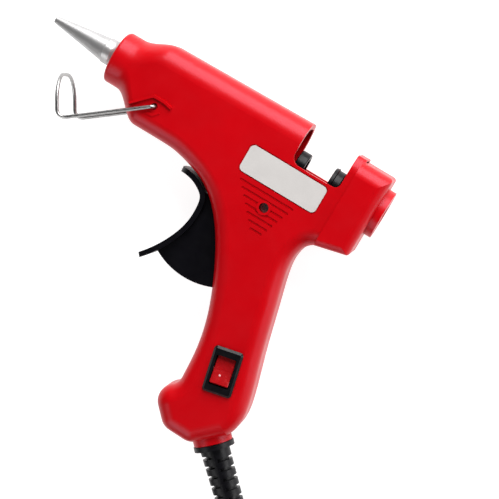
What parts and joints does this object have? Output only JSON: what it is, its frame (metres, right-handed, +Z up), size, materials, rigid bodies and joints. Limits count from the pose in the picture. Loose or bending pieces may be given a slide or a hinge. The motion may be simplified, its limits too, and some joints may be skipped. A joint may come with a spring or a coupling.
{
  "type": "glue gun",
  "caption": "Small pistol-grip hot-melt glue gun with a metal nozzle, wire stand, finger trigger, rocker switch and coiled mains lead.",
  "frame": {"origin": "on the bench, under the middle of the gun's box without its lead, the gun lying on its right side", "axes": "+X back along the barrel from the nozzle to the stick inlet, +Y from the grip up to the barrel's top, +Z up from the bench, out of the left side"},
  "size_m": [0.1779, 0.2548, 0.027],
  "materials": {
    "red_plastic": "satin, fine grain",
    "black_plastic": "satin",
    "nozzle_metal": "nickel plated",
    "aluminium": "die cast",
    "steel": "bright wire",
    "brass_metal": "stamped",
    "label_sheet": "blank label",
    "switch_red": "translucent gloss",
    "switch_black": "moulded",
    "heater_ceramic": "ceramic pill",
    "film": "amber insulating film",
    "silicone": "silicone",
    "black_rubber": "moulded",
    "cord_sheath": "pvc sheath",
    "wire_sheath": "insulated core"
  },
  "bodies": {
    "housing": {"left_shell": "red_plastic", "right_shell": "red_plastic", "label": "label_sheet", "body_screws": "steel", "nozzle": "nozzle_metal", "nozzle_bush": "silicone", "melt_chamber": "aluminium", "heater_film": "film", "heater_electrodes": "brass_metal", "ptc_heater": "heater_ceramic", "heater_clip": "steel", "inlet_sleeve": "silicone", "sleeve_clip": "steel", "trigger_pin": "steel", "return_spring": "steel", "switch_housing": "switch_black", "switch_terminals": "brass_metal", "lead_wires": "wire_sheath", "cord_clamp": "black_plastic", "clamp_screws": "steel", "cord_boot": "black_rubber", "cord_end": "cord_sheath", "cord_lead": "cord_sheath", "cord_coil": "cord_sheath", "cord_tail": "cord_sheath", "plug_body": "black_rubber", "plug_pins": "nozzle_metal"},
    "trigger": {"trigger": "black_plastic"},
    "feed_slider": {"feed_slider": "black_plastic", "grip_pin": "steel"},
    "grip_pawl": {"grip_pawl": "black_plastic"},
    "switch_rocker": {"switch_rocker": "switch_red"},
    "wire_stand": {"wire_stand": "steel"}
  },
  "joints": [
    {"name": "trigger_pull", "type": "hinge", "parent": "housing", "child": "trigger", "pos_m": [0.01087, 0.02996, 0.0135], "axis": [0, 0, 1], "range_deg": [0, 22], "stiffness_Nm_per_rad": 0.25, "springref_deg": -8.59},
    {"name": "feed_slide", "type": "slide", "parent": "housing", "child": "feed_slider", "axis": [-1, 0, 0], "range_m": [0, 0.0077], "deforming": ["return_spring"]},
    {"name": "grip_bite", "type": "hinge", "parent": "feed_slider", "child": "grip_pawl", "pos_m": [0.03397, 0.05226, 0.0135], "axis": [0, 0, 1], "range_deg": [-7, 0]},
    {"name": "switch_rock", "type": "hinge", "parent": "housing", "child": "switch_rocker", "pos_m": [0.04182, -0.01939, 0.0239], "axis": [0.974, 0.2267, 0], "range_deg": [0, 14]},
    {"name": "stand_swing", "type": "hinge", "parent": "housing", "child": "wire_stand", "pos_m": [-0.02923, 0.05106, 0.0135], "axis": [0, 0, 1], "range_deg": [0, 60]}
  ],
  "couplings": [
    {"joint": "feed_slide", "follows": "trigger_pull", "m_per_rad": 0.019877},
    {"joint": "grip_bite", "follows": "trigger_pull", "ratio": -0.3}
  ]
}
